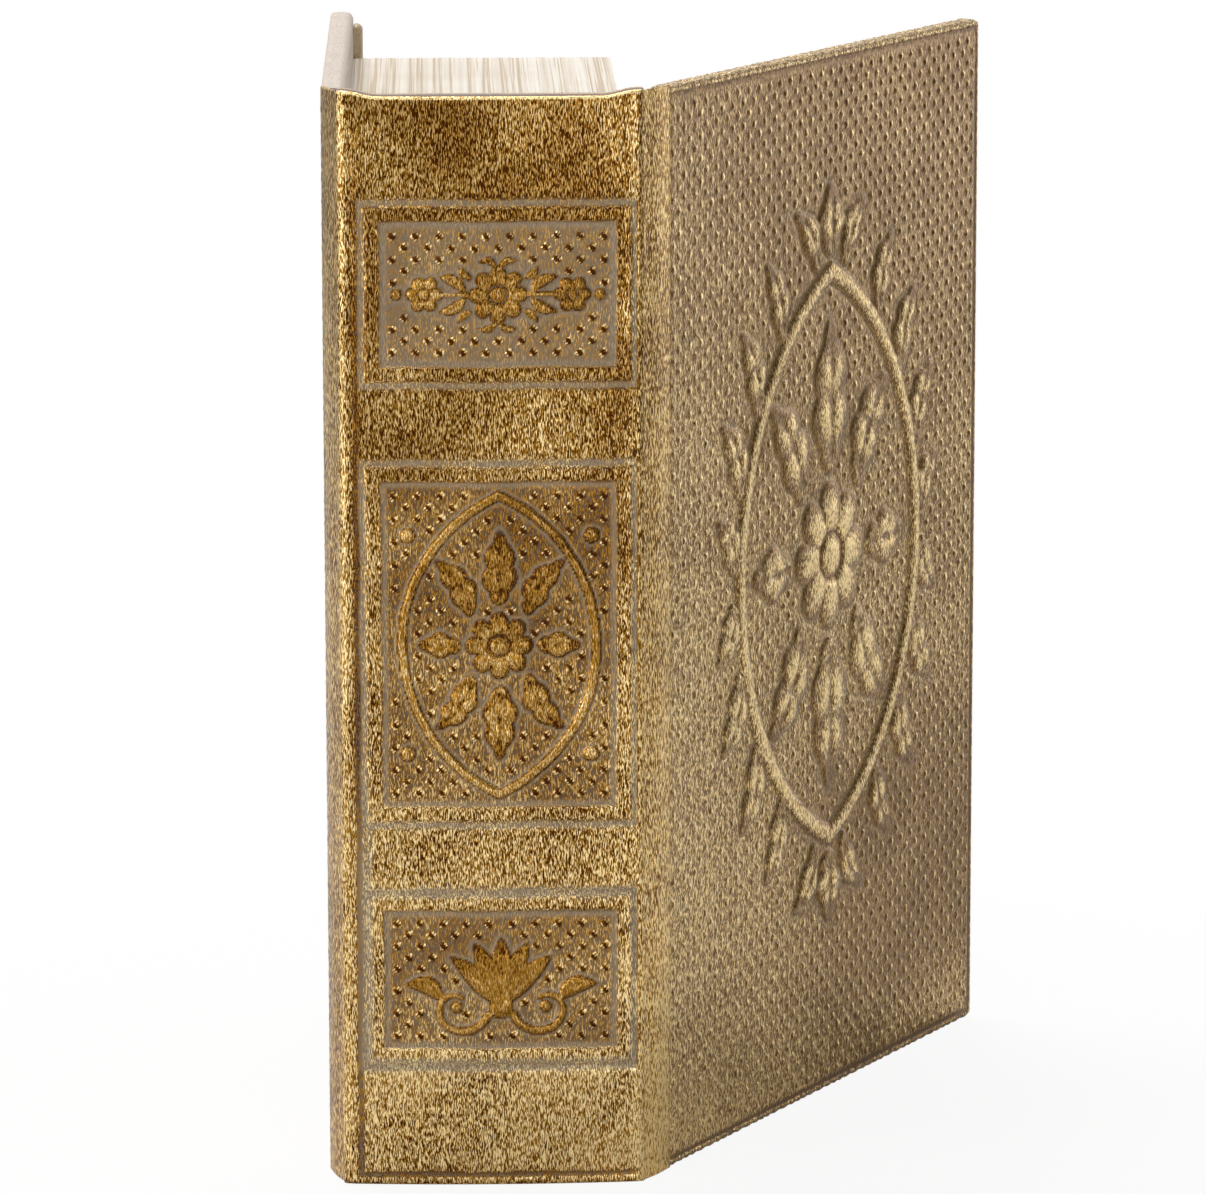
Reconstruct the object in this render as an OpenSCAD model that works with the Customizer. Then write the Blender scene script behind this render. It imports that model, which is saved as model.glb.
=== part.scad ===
// Book-shaped box: a tray papered like a block of pages, glued into a leather-covered book
// case. The front cover is the lid and swings on the leather joint beside the spine.
// +Z is up along the spine, the spine faces -Y, the back cover stands at -X and the lid at +X.
// The origin is the middle of the spine's foot. The lid is drawn open, as the box stands.

/* [Book] */
// Height of the covers, head to tail
book_h = 260; // [200:1:320]
// Width of the closed book, from the crown of the spine to the fore-edge
book_w = 181.5; // [140:0.5:220]
// Thickness of the closed book over both covers
book_t = 78.5; // [60:0.5:110]
// Angle at which the lid stands open
open_angle = 30; // [0:1:80]

/* [Covers] */
// Thickness of the cover and spine boards
board_t = 4.4; // [3:0.1:6]
// Thickness of the leather
leather_t = 0.7; // [0.4:0.1:1]
// Width of the leather turned in over the boards' inner faces
turn_in_w = 15; // [12:1:20]
// Radius of the covers' fore-edge corners
cover_corner_r = 2; // [2:0.5:8]
// Rounding of the covers' long edges
edge_r = 0.9; // [0.5:0.1:1.5]
// Depth of the joint, from the line of the spine's corners to the covers' near edges
joint_w = 13.4; // [12:0.2:16]
// Thickness of the lined card panel inside the lid
panel_t = 1.2; // [0.8:0.1:1.8]
// Distance of that panel from the lid's head, tail and joint edges
panel_margin = 6; // [4:0.5:12]

/* [Spine] */
// How far each cover stands out past the side of the spine board
cover_stand = 3.95; // [3.5:0.05:4.5]
// How far the spine's face bulges between its corners
spine_crown = 1.5; // [0.5:0.1:2.5]
// Outer radius of the spine's upright corners
spine_r = 3; // [2:0.25:4]
// How far the spine's head lies below the covers' heads
spine_drop = 0.7; // [0:0.1:2]

/* [Tooling] */
// Width of the pressed lines
line_w = 0.8; // [0.5:0.1:1.2]
// Depth of the pressed lines
line_d = 0.25; // [0.1:0.05:0.3]
// Distance of the cover's pressed border from its edges
border_gap = 2; // [1.5:0.25:4]
// Distance between the outer and the inner line of a spine panel
panel_line_gap = 4.4; // [2:0.2:8]
// Distance of the spine's frame line from its foot; at the head the line runs out
spine_line_end = 2.2; // [1.5:0.1:4]
// Distance of that line from the sides of the spine board
spine_line_side = 1.7; // [1.2:0.1:3]
// Distance from that line to the spine panels, both to their outer edges
spine_panel_side = 1.3; // [1:0.1:8]
// How far the spine's tooling sits off its middle, towards the lid
tooling_shift = 1.6; // [0:0.1:1.8]
// Distance of the lower spine panel from the foot
lower_panel_end = 28.5; // [10:0.5:40]
// Height of the lower spine panel, over its outer line
lower_panel_h = 43; // [20:0.5:50]
// Distance of the upper spine panel from the spine's head
upper_panel_end = 24.3; // [10:0.1:40]
// Height of the upper spine panel, over its outer line
upper_panel_h = 43.5; // [20:0.5:50]
// Gaps below and above the middle panel, which fills the height between them
panel_gaps = [15.5, 17.5]; // [8:0.5:24]

/* [Tray] */
// Distance from the covers' head and tail edges to the tray
square_w = 11; // [6:0.5:20]
// Distance from the covers' fore-edges to the tray
fore_square_w = 8.5; // [8.5:0.5:14]
// Thickness of the tray's walls
wall_t = 5; // [4:0.25:8]
// Thickness of the tray's floor
floor_t = 2; // [1.5:0.25:4]
// Thickness of the page-effect paper
paper_t = 0.3; // [0.2:0.05:0.5]
// Thickness of the lining cloth
cloth_t = 0.5; // [0.3:0.1:1]
// Outer radius of the page block's fore-edge corners
page_r = 1.6; // [1:0.1:4]
// Gap between the tray's rim and the closed lid
lid_gap = 0.35; // [0.3:0.05:1]

/* [Fore-edge rolls] */
// How far a roll stands out from the cover's inner face
roll_t = 2.4; // [2.3:0.1:3]
// Width of a roll across the cover
roll_w = 6.2; // [5:0.1:6.5]
// Rounding of a roll's edges and ends
roll_r = 2; // [0.5:0.1:2.2]
// Distance from a roll to the cover's fore-edge
roll_inset = 1.2; // [1:0.1:1.5]
// Distance from a roll's ends to the cover's head and tail
roll_end = 2.8; // [2:0.2:8]

/* [Closure] */
// Length of a closure magnet
magnet_l = 12; // [8:1:20]
// Width and depth of a closure magnet
magnet_w = 3; // [2:0.25:3.5]
// Length of a steel keeper plate
keeper_l = 16; // [12:1:24]
// Width of a steel keeper plate
keeper_w = 8; // [5:0.5:10]
// Thickness of a steel keeper plate
keeper_t = 1; // [0.5:0.1:1.5]
// Distance from the foot and the head to the middle of a magnet
magnet_end = 70; // [40:1:90]

/* [Hinge] */
// Distance of the hinge axis behind the line of the spine's corners
pivot_y = 7.6; // [6:0.1:9]
// Distance of the hinge axis in from the closed lid's outer face
pivot_in = 1.25; // [0.75:0.05:2]
// Gap between the joint pieces and the lid
joint_gap = 0.15; // [0.1:0.05:0.3]

/* [Hidden] */
$fn = 64;
// Spare length by which a cutter passes the face that it opens
over = 1;

// Covers, as the closed lid lies at +X; the back cover is its mirror image
cover_t = board_t + 2 * leather_t;
spine_t = cover_t;
face_y = -spine_t / 2;
crown_y = face_y - spine_crown;
near_y = face_y + joint_w;
fore_y = crown_y + book_w;
out_x = book_t / 2;
in_x = out_x - cover_t;
board_in_x = in_x + leather_t;
board_out_x = out_x - leather_t;

// Hinge axis and the lid's near edge as it stands open
pivot = [out_x - pivot_in, face_y + pivot_y];
function opened(p) = pivot + [
    (p.x - pivot.x) * cos(open_angle) + (p.y - pivot.y) * sin(open_angle),
    (p.y - pivot.y) * cos(open_angle) - (p.x - pivot.x) * sin(open_angle)];

// Spine corner: centre of its rounding, and where the joint leather leaves it towards a point
spine_w = book_t - 2 * cover_stand;
corner_c = [spine_w / 2 - (spine_r - leather_t), face_y + spine_r];
function leave_angle(p) =
    atan2(p.y - corner_c.y, p.x - corner_c.x) - acos(spine_r / norm(p - corner_c));
function on_corner(a, r) = corner_c + r * [cos(a), sin(a)];

// Arc of the spine's face, which runs into the rounding of both corners
arc_to_corner = (corner_c.x * corner_c.x + spine_crown * spine_crown) / (2 * spine_crown);
arc_r = arc_to_corner + spine_r;
arc_end = [corner_c.x, spine_crown - arc_to_corner] / arc_to_corner;
spine_back_y = face_y + spine_t;
spine_h = book_h - spine_drop;
spine_line_w = spine_w - 2 * spine_line_side;
spine_panel_w = spine_line_w - 2 * spine_panel_side;

// Foot and head of the three spine panels, over their outer lines
middle_panel_foot = lower_panel_end + lower_panel_h + panel_gaps[0];
upper_panel_foot = spine_h - upper_panel_end - upper_panel_h;
spine_panels = [
    [lower_panel_end, lower_panel_end + lower_panel_h],
    [middle_panel_foot, upper_panel_foot - panel_gaps[1]],
    [upper_panel_foot, spine_h - upper_panel_end]];

// Tray
tray_in_y = spine_back_y;
tray_out_y = fore_y - fore_square_w;
tray_foot_z = square_w;
tray_head_z = book_h - square_w;
rim_x = in_x - panel_t - lid_gap;
tray_x = -in_x;
floor_x = tray_x + floor_t;
wall_top_x = rim_x - paper_t;
inside_y = tray_in_y + wall_t;
inside_out_y = tray_out_y - paper_t - wall_t;
inside_foot_z = tray_foot_z + paper_t + wall_t;
inside_head_z = tray_head_z - paper_t - wall_t;
magnet_y = inside_out_y + wall_t / 2;
magnet_zs = [magnet_end, book_h - magnet_end];

// Rectangle whose two corners on the far side are rounded
module fore_rounded(y0, y1, z0, z1, r) {
    translate([y0, z0]) square([y1 - y0 - r, z1 - z0]);
    translate([y0, z0 + r]) square([y1 - y0, z1 - z0 - 2 * r]);
    for (z = [z0 + r, z1 - r]) translate([y1 - r, z]) circle(r);
}

// Rectangle with all four corners rounded
module rounded(x0, x1, y0, y1, r) {
    translate([x0 + r, y0]) square([x1 - x0 - 2 * r, y1 - y0]);
    translate([x0, y0 + r]) square([x1 - x0, y1 - y0 - 2 * r]);
    for (x = [x0 + r, x1 - r], y = [y0 + r, y1 - r]) translate([x, y]) circle(r);
}

// Slab between two values of x, with its outline drawn in Y and Z
module slab(x0, x1) {
    translate([x0, 0, 0]) rotate([90, 0, 90]) linear_extrude(x1 - x0) children();
}

// Bar along Y between two values of y, with its section drawn in X and Z
module bar_y(y0, y1) {
    translate([0, y1, 0]) rotate([90, 0, 0]) linear_extrude(y1 - y0) children();
}

// Block between two corners
module block(a, b) {
    translate(a) cube(b - a);
}

// The lid's pieces, turned from closed to where they stand
module lid() {
    translate([pivot.x, pivot.y, 0]) rotate([0, 0, -open_angle])
        translate([-pivot.x, -pivot.y, 0]) children();
}

// Cover board, and the space that it fills in its leather
module cover_board() {
    slab(board_in_x, board_out_x)
        fore_rounded(near_y, fore_y - leather_t, leather_t, book_h - leather_t,
            cover_corner_r - leather_t);
}

// Outer form of a covered board: rounded corners, eased long edges
module cover_form() {
    intersection() {
        slab(in_x, out_x) fore_rounded(near_y, fore_y, 0, book_h, cover_corner_r);
        bar_y(near_y - over, fore_y + over) rounded(in_x, out_x, 0, book_h, edge_r);
        translate([0, 0, -over]) linear_extrude(book_h + 2 * over)
            rounded(in_x, out_x, near_y - 4 * edge_r, fore_y, edge_r);
    }
}

// Frame line pressed into a cover's outer face along its edges, open towards the joint
module cover_border() {
    r = max(cover_corner_r - border_gap / 2, line_w + 0.1);
    inner = border_gap + line_w;
    slab(out_x - line_d, out_x + over) difference() {
        fore_rounded(near_y - over, fore_y - border_gap, border_gap, book_h - border_gap, r);
        fore_rounded(near_y - 2 * over, fore_y - inner, inner, book_h - inner, r - line_w);
    }
}

// Leather of a cover: outer face, wrapped edges and turn-ins, open towards the joint
module cover_leather() {
    difference() {
        cover_form();
        slab(board_in_x, board_out_x)
            fore_rounded(near_y - over, fore_y - leather_t, leather_t,
                book_h - leather_t, cover_corner_r - leather_t);
        block([in_x - over, near_y - over, turn_in_w],
            [board_in_x + leather_t, fore_y - turn_in_w, book_h - turn_in_w]);
        cover_border();
    }
}

// Card that fills the space between a cover's turn-ins
module cover_infill() {
    block([in_x, near_y, turn_in_w], [board_in_x, fore_y - turn_in_w, book_h - turn_in_w]);
}

// Leather-covered strip inside a cover's fore-edge, rounded towards the pages and at its ends
module fore_edge_roll() {
    y1 = fore_y - roll_inset;
    y0 = y1 - roll_w;
    intersection() {
        block([in_x - roll_t, y0, roll_end], [in_x, y1, book_h - roll_end]);
        bar_y(y0, y1) mirror([1, 0])
            fore_rounded(-in_x, roll_t - in_x, roll_end, book_h - roll_end, roll_r);
        translate([0, 0, roll_end]) linear_extrude(book_h - 2 * roll_end) mirror([1, 0])
            fore_rounded(-in_x, roll_t - in_x, y0, y1, roll_r);
    }
}

// Shallow lens behind the arc of the spine's face, between the centres of its corners
module face_lens(inset) {
    far = 3 * spine_r;
    other = [-corner_c.x, corner_c.y];
    intersection() {
        translate([0, crown_y + arc_r]) circle(arc_r - inset, $fn = 720);
        polygon([corner_c, corner_c + far * arc_end, other + far * [-arc_end.x, arc_end.y],
            other]);
    }
}

// Section of the spine less an inset from its outer faces, back to a line across it
module spine_section(inset, back) {
    half = corner_c.x + spine_r - inset;
    front = crown_y + inset;
    intersection() {
        union() {
            face_lens(inset);
            for (side = [-1, 1]) translate([side * corner_c.x, corner_c.y])
                circle(spine_r - inset);
            translate([-half, corner_c.y]) square([2 * half, back - corner_c.y]);
        }
        translate([-half, front]) square([2 * half, back - front]);
    }
}

// Ring sector of leather round one spine corner, from the face to where the joint leaves it
module corner_sector(leave) {
    far = 3 * spine_r;
    translate(corner_c) intersection() {
        difference() {
            circle(spine_r);
            circle(spine_r - leather_t);
        }
        polygon([[0, 0], far * arc_end, [far, -far], far * [cos(leave), sin(leave)]]);
    }
}

// Section of the leather on the spine's face and round both corners
module spine_skin_section() {
    difference() {
        face_lens(0);
        face_lens(leather_t);
    }
    corner_sector(leave_angle(opened([out_x, near_y])));
    mirror([1, 0]) corner_sector(leave_angle([out_x, near_y]));
}

// Line along the edges of a rectangle that is centred on the spine's tooling
module tooled_frame(foot, width, height) {
    translate([tooling_shift - width / 2, foot]) difference() {
        square([width, height]);
        translate([line_w, line_w]) square([width - 2 * line_w, height - 2 * line_w]);
    }
}

// The spine's lines, as deep as they are pressed and following its face round the corners;
// the long frame runs off the spine's head
module spine_lines() {
    depth = corner_c.y - crown_y + over;
    intersection() {
        linear_extrude(book_h) difference() {
            spine_section(-over, corner_c.y + over);
            spine_section(line_d, corner_c.y + 2 * over);
        }
        translate([0, corner_c.y, 0]) rotate([90, 0, 0]) linear_extrude(depth) {
            tooled_frame(spine_line_end, spine_line_w, book_h);
            for (panel = spine_panels, gap = [0, panel_line_gap])
                tooled_frame(panel[0] + gap, spine_panel_w - 2 * gap,
                    panel[1] - panel[0] - 2 * gap);
        }
    }
}

// Strip of joint leather from a spine corner to a cover's near edge, held short by a gap
module joint_strip(near_out, near_in, gap, bottom, top) {
    a = leave_angle(near_out);
    along = (near_out - on_corner(a, spine_r)) / norm(near_out - on_corner(a, spine_r));
    translate([0, 0, bottom]) linear_extrude(top - bottom)
        polygon([on_corner(a, spine_r), near_out - gap * along, near_in - gap * along,
            on_corner(a, spine_r - leather_t)]);
}

// One sheet of the tray's outline, grown or shrunk from the page block's faces
module page_outline(inset) {
    fore_rounded(tray_in_y, tray_out_y - inset, tray_foot_z + inset, tray_head_z - inset,
        page_r - inset);
}

// Outline of the space inside the tray's walls
module inside_outline(inset) {
    translate([inside_y + inset, inside_foot_z + inset])
        square([inside_out_y - inside_y - 2 * inset,
            inside_head_z - inside_foot_z - 2 * inset]);
}

// Bars at the magnets' places: length along Z, width along Y
module at_magnets(x0, x1, width, length) {
    for (z = magnet_zs)
        block([x0, magnet_y - width / 2, z - length / 2],
            [x1, magnet_y + width / 2, z + length / 2]);
}

module back_cover_board() {
    color("burlywood") mirror([1, 0, 0]) cover_board();
}

module back_cover_leather() {
    color([0.50, 0.40, 0.24]) mirror([1, 0, 0]) cover_leather();
}

module back_cover_infill() {
    color("gainsboro") mirror([1, 0, 0]) cover_infill();
}

module back_fore_edge_roll() {
    color([0.58, 0.46, 0.26]) mirror([1, 0, 0]) fore_edge_roll();
}

module back_joint_leather() {
    color([0.62, 0.48, 0.24]) mirror([1, 0, 0])
        joint_strip([out_x, near_y], [board_out_x, near_y], 0, 0, book_h);
}

module spine_board() {
    color("burlywood") translate([0, 0, leather_t])
        linear_extrude(spine_h - 2 * leather_t)
            spine_section(leather_t, spine_back_y - leather_t);
}

module spine_leather() {
    color([0.68, 0.53, 0.26]) difference() {
        union() {
            linear_extrude(spine_h) spine_skin_section();
            for (z = [0, spine_h - leather_t]) translate([0, 0, z])
                linear_extrude(leather_t) spine_section(leather_t, spine_back_y);
            for (z = [0, spine_h - turn_in_w])
                block([-spine_w / 2, spine_back_y - leather_t, z],
                    [spine_w / 2, spine_back_y, z + turn_in_w]);
        }
        spine_lines();
    }
}

module spine_infill() {
    color("gainsboro")
        block([-spine_w / 2, spine_back_y - leather_t, turn_in_w],
            [spine_w / 2, spine_back_y, spine_h - turn_in_w]);
}

module tray_floor() {
    color("tan") slab(tray_x, floor_x) page_outline(paper_t);
}

module head_wall() {
    color("burlywood") slab(floor_x, wall_top_x) intersection() {
        page_outline(paper_t);
        translate([tray_in_y, inside_head_z]) square([book_w, wall_t]);
    }
}

module tail_wall() {
    color("burlywood") slab(floor_x, wall_top_x) intersection() {
        page_outline(paper_t);
        translate([tray_in_y, inside_foot_z - wall_t]) square([book_w, wall_t]);
    }
}

module fore_edge_wall() {
    color("burlywood") difference() {
        block([floor_x, inside_out_y, inside_foot_z],
            [wall_top_x, inside_out_y + wall_t, inside_head_z]);
        at_magnets(wall_top_x - magnet_w, wall_top_x + over, magnet_w, magnet_l);
    }
}

module spine_side_wall() {
    color("burlywood") block([floor_x, tray_in_y, inside_foot_z],
        [wall_top_x, inside_y, inside_head_z]);
}

module page_edge_paper() {
    color([0.92, 0.88, 0.80]) slab(tray_x, wall_top_x) difference() {
        page_outline(0);
        translate([-over, 0]) page_outline(paper_t);
        page_outline(paper_t);
    }
}

module rim_paper() {
    color([0.90, 0.86, 0.78]) slab(wall_top_x, rim_x) difference() {
        page_outline(0);
        inside_outline(0);
    }
}

module floor_lining() {
    color([0.22, 0.15, 0.11]) slab(floor_x, floor_x + cloth_t) inside_outline(0);
}

module wall_lining() {
    color([0.22, 0.15, 0.11]) slab(floor_x + cloth_t, rim_x) difference() {
        inside_outline(0);
        inside_outline(cloth_t);
    }
}

module closure_magnets() {
    color("silver") at_magnets(wall_top_x - magnet_w, wall_top_x, magnet_w, magnet_l);
}

module hinge_leather() {
    color([0.70, 0.55, 0.28])
        joint_strip(opened([out_x, near_y]), opened([board_out_x, near_y]), joint_gap, 0, book_h);
}

module hinge_lining() {
    from = [spine_w / 2, spine_back_y];
    to = opened([in_x, near_y]);
    along = (to - from) / norm(to - from);
    across = [along.y, -along.x];
    end = to - 2 * joint_gap * along;
    color([0.22, 0.15, 0.11]) translate([0, 0, turn_in_w])
        linear_extrude(book_h - 2 * turn_in_w)
            polygon([from, end, end - cloth_t * across, from - cloth_t * across]);
}

module front_cover_board() {
    color("burlywood") lid() difference() {
        cover_board();
        at_magnets(board_in_x - over, board_in_x + keeper_t, keeper_w, keeper_l);
    }
}

module front_cover_leather() {
    color([0.52, 0.43, 0.28]) lid() cover_leather();
}

module front_cover_infill() {
    color("gainsboro") lid() cover_infill();
}

module front_cover_lining() {
    color([0.26, 0.18, 0.13]) lid() slab(in_x - panel_t, in_x)
        rounded(near_y + panel_margin, fore_y - fore_square_w, panel_margin,
            book_h - panel_margin, panel_t);
}

module front_fore_edge_roll() {
    color([0.58, 0.46, 0.26]) lid() fore_edge_roll();
}

module keeper_plates() {
    color("silver") lid()
        at_magnets(board_in_x, board_in_x + keeper_t, keeper_w, keeper_l);
}

back_cover_board();
back_cover_leather();
back_cover_infill();
back_fore_edge_roll();
back_joint_leather();
spine_board();
spine_leather();
spine_infill();
tray_floor();
head_wall();
tail_wall();
fore_edge_wall();
spine_side_wall();
page_edge_paper();
rim_paper();
floor_lining();
wall_lining();
closure_magnets();
hinge_leather();
hinge_lining();
front_cover_board();
front_cover_leather();
front_cover_infill();
front_cover_lining();
front_fore_edge_roll();
keeper_plates();
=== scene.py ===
"""Looks of the book-shaped box: a leather-covered book case round a tray with page-effect edges."""
import math

import bpy
import numpy as np
from mathutils import Matrix, Vector


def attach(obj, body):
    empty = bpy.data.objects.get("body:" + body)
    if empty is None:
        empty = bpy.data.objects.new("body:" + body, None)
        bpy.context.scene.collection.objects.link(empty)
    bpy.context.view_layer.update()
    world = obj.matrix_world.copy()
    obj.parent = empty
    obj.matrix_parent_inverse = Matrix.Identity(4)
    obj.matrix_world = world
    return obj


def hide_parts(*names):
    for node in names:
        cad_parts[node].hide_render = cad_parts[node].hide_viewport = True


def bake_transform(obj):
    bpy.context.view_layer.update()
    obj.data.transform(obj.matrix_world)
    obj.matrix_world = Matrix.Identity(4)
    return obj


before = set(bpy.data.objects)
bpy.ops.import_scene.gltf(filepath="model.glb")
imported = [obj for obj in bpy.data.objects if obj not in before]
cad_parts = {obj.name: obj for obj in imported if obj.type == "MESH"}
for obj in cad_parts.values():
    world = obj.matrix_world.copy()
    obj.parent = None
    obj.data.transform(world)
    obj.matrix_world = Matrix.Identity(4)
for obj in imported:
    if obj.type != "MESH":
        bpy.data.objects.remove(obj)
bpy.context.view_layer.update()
scene = bpy.context.scene
scene.view_settings.view_transform = "Standard"

# Studio.
# A white sweep under and behind the box, and a long lens that looks slightly down on the spine.
# Large soft lamps at the left, in front and above behind light the foil; two weak ones fill in.

camera_place = (-0.01250, -1.58009, 0.44618)
camera_turn = 0.0243
camera_dip = 0.1907
camera_roll = -0.0016
focal_px = 6878.7
photo_px = 1206

lens = bpy.data.cameras.new("camera")
lens.sensor_width = 36
lens.lens = focal_px / photo_px * lens.sensor_width
lens.clip_start = 0.05
lens.clip_end = 30
camera = bpy.data.objects.new("camera", lens)
camera.matrix_world = (
    Matrix.Translation(camera_place)
    @ Matrix.Rotation(-camera_turn, 4, "Z")
    @ Matrix.Rotation(math.pi / 2 - camera_dip, 4, "X")
    @ Matrix.Rotation(camera_roll, 4, "Z")
)
scene.collection.objects.link(camera)
scene.camera = camera


def lamp(name, where, aim, size, power, colour):
    """Rectangular soft lamp, aimed at a point."""
    light = bpy.data.lights.new(name, "AREA")
    light.shape = "RECTANGLE"
    light.size, light.size_y = size
    light.energy = power
    light.color = colour
    holder = bpy.data.objects.new(name, light)
    turned = (Vector(aim) - Vector(where)).to_track_quat("-Z", "Y")
    holder.matrix_world = Matrix.Translation(where) @ turned.to_matrix().to_4x4()
    scene.collection.objects.link(holder)


lamp("left_softbox", (-1.45, -0.75, 0.44), (0.0, 0.05, 0.10), (0.6, 1.0), 11.5, (1.0, 0.99, 0.97))
lamp("right_softbox", (1.12, 0.95, 0.22), (0.08, 0.08, 0.10), (0.4, 0.9), 2.6, (1.0, 0.98, 0.96))
lamp("front_top", (-0.30, -1.00, 1.35), (0.0, 0.0, 0.12), (0.8, 0.45), 5, (1.0, 1.0, 1.0))
lamp("back_top", (-0.25, 0.60, 1.45), (0.0, 0.05, 0.2), (0.9, 0.5), 15, (1.0, 0.99, 0.98))
lamp("front_fill", (0.80, -1.60, 0.18), (0.0, 0.0, 0.08), (0.8, 0.8), 8.5, (1.0, 0.99, 0.98))


def place(tree, kind, inputs=None, **settings):
    """Add a shader node, with its inputs set to values or joined to other nodes' outputs."""
    node = tree.nodes.new(kind)
    for key, value in settings.items():
        setattr(node, key, value)
    for key, value in (inputs or {}).items():
        if isinstance(value, bpy.types.NodeSocket):
            tree.links.new(value, node.inputs[key])
        else:
            node.inputs[key].default_value = value
    return node


def reckon(tree, operation, *values):
    """Reckon with values or sockets; gives the result's socket."""
    return place(tree, "ShaderNodeMath", dict(enumerate(values)), operation=operation).outputs[0]


def remap(tree, value, low, high, to_low=0.0, to_high=1.0, **settings):
    """Carry a value from one range over to another, held at its ends; gives the socket."""
    inputs = {"Value": value, "From Min": low, "From Max": high, "To Min": to_low, "To Max": to_high}
    return place(tree, "ShaderNodeMapRange", inputs, **settings).outputs[0]


def seen_directly(tree):
    """1 where the camera looks itself, also through something clear, and 0 for other light."""
    ray = place(tree, "ShaderNodeLightPath").outputs
    return reckon(tree, "MAXIMUM", ray["Is Camera Ray"], ray["Is Transmission Ray"])


def new_material(name):
    """Empty material, with its node tree."""
    material = bpy.data.materials.new(name)
    material.use_nodes = True
    material.node_tree.nodes.clear()
    return material, material.node_tree


mirrored_dark = 0.14
mirrored_behind = 1.0
mirrored_above = 0.75
fill_light = 0.20

world = bpy.data.worlds.new("studio")
world.use_nodes = True
scene.world = world
sky = world.node_tree
sky.nodes.clear()
toward = place(sky, "ShaderNodeTexCoord")
split = place(sky, "ShaderNodeSeparateXYZ", {0: toward.outputs["Generated"]})
behind = remap(sky, split.outputs["Y"], 0.2, 0.95, mirrored_dark, mirrored_behind)
above = remap(sky, split.outputs["Z"], 0.2, 0.95, mirrored_dark, mirrored_above)
mirrored = reckon(sky, "MAXIMUM", behind, above)
ray = place(sky, "ShaderNodeLightPath")
level = place(sky, "ShaderNodeMix", {0: ray.outputs["Is Glossy Ray"], 2: fill_light, 3: mirrored})
ambient = reckon(sky, "MAXIMUM", seen_directly(sky), level.outputs[0])
glow = place(sky, "ShaderNodeBackground", {"Color": (1, 1, 1, 1), "Strength": ambient})
place(sky, "ShaderNodeOutputWorld", {"Surface": glow.outputs[0]})

shadow_near = 0.10
shadow_far = 0.40
floor_reach = 6.0

paper_sweep, shade = new_material("white_sweep")
spot = place(shade, "ShaderNodeTexCoord")
away = place(shade, "ShaderNodeVectorMath", {0: spot.outputs["Object"]}, operation="LENGTH")
fade = remap(shade, away.outputs["Value"], shadow_near, shadow_far, 0.90, 1.0,
             interpolation_type="SMOOTHSTEP")
lift = reckon(shade, "MULTIPLY", seen_directly(shade), fade)
matt = place(shade, "ShaderNodeBsdfDiffuse", {"Color": (0.9, 0.9, 0.9, 1)})
white = place(shade, "ShaderNodeEmission", {"Color": (1, 1, 1, 1), "Strength": 1.0})
both = place(shade, "ShaderNodeMixShader", {0: lift, 1: matt.outputs[0], 2: white.outputs[0]})
place(shade, "ShaderNodeOutputMaterial", {"Surface": both.outputs[0]})
sweep_mesh = bpy.data.meshes.new("floor")
sweep_corners = [(floor_reach * x, floor_reach * y, 0) for x, y in ((-1, -1), (1, -1), (1, 1), (-1, 1))]
sweep_mesh.from_pydata(sweep_corners, [], [(0, 1, 2, 3)])
floor = bpy.data.objects.new("floor", sweep_mesh)
floor.data.materials.append(paper_sweep)
scene.collection.objects.link(floor)

# Boards.
# The covers, the spine and the tray's walls are cut from raw fibreboard, a warm brown board of
# pressed fibres. Most of it is hidden under leather, paper and lining.


def start_group(name, takes, gives):
    """New shader node group with its named inputs and outputs."""
    tree = bpy.data.node_groups.new(name, "ShaderNodeTree")
    for label, kind, value in takes:
        tree.interface.new_socket(label, in_out="INPUT", socket_type=kind).default_value = value
    for label, kind in gives:
        tree.interface.new_socket(label, in_out="OUTPUT", socket_type=kind)
    return tree, tree.nodes.new("NodeGroupInput"), tree.nodes.new("NodeGroupOutput")


def use_group(tree, group, **inputs):
    """Place a node group; inputs are named with _ for each space."""
    node = tree.nodes.new("ShaderNodeGroup")
    node.node_tree = group
    for key, value in inputs.items():
        socket = node.inputs[key.replace("_", " ")]
        if isinstance(value, bpy.types.NodeSocket):
            tree.links.new(value, socket)
        else:
            socket.default_value = value
    return node


def paint(material, *nodes):
    """Give CAD nodes a material."""
    for name in nodes:
        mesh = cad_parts[name].data
        mesh.materials.clear()
        mesh.materials.append(material)


def mix_colour(tree, factor, first, second):
    """Mix two colours; gives the result's socket."""
    return place(tree, "ShaderNodeMix", {0: factor, 6: first, 7: second}, data_type="RGBA").outputs[2]


def on_object(tree, stretch=None):
    """Place on the object in metres, multiplied along x, y and z where stretch is given."""
    spot = place(tree, "ShaderNodeTexCoord").outputs["Object"]
    if stretch is None:
        return spot
    return place(tree, "ShaderNodeVectorMath", {0: spot, 1: stretch}, operation="MULTIPLY").outputs[0]


def noise(tree, where, scale, detail, roughness=0.5, distortion=0.0):
    """Cloudy pattern round 0.5; gives its socket."""
    inputs = {"Vector": where, "Scale": scale, "Detail": detail, "Roughness": roughness,
              "Distortion": distortion}
    return place(tree, "ShaderNodeTexNoise", inputs).outputs[0]


def add_surface(tree, inputs, height=None, strength=1.0, depth=0.0):
    """Finish a material, with a fine relief of a depth in metres where a height is given."""
    if height is not None:
        bump = place(tree, "ShaderNodeBump", {"Strength": strength, "Distance": depth, "Height": height})
        inputs = {**inputs, "Normal": bump.outputs[0]}
    surface = place(tree, "ShaderNodeBsdfPrincipled", inputs)
    place(tree, "ShaderNodeOutputMaterial", {"Surface": surface.outputs[0]})


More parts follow.
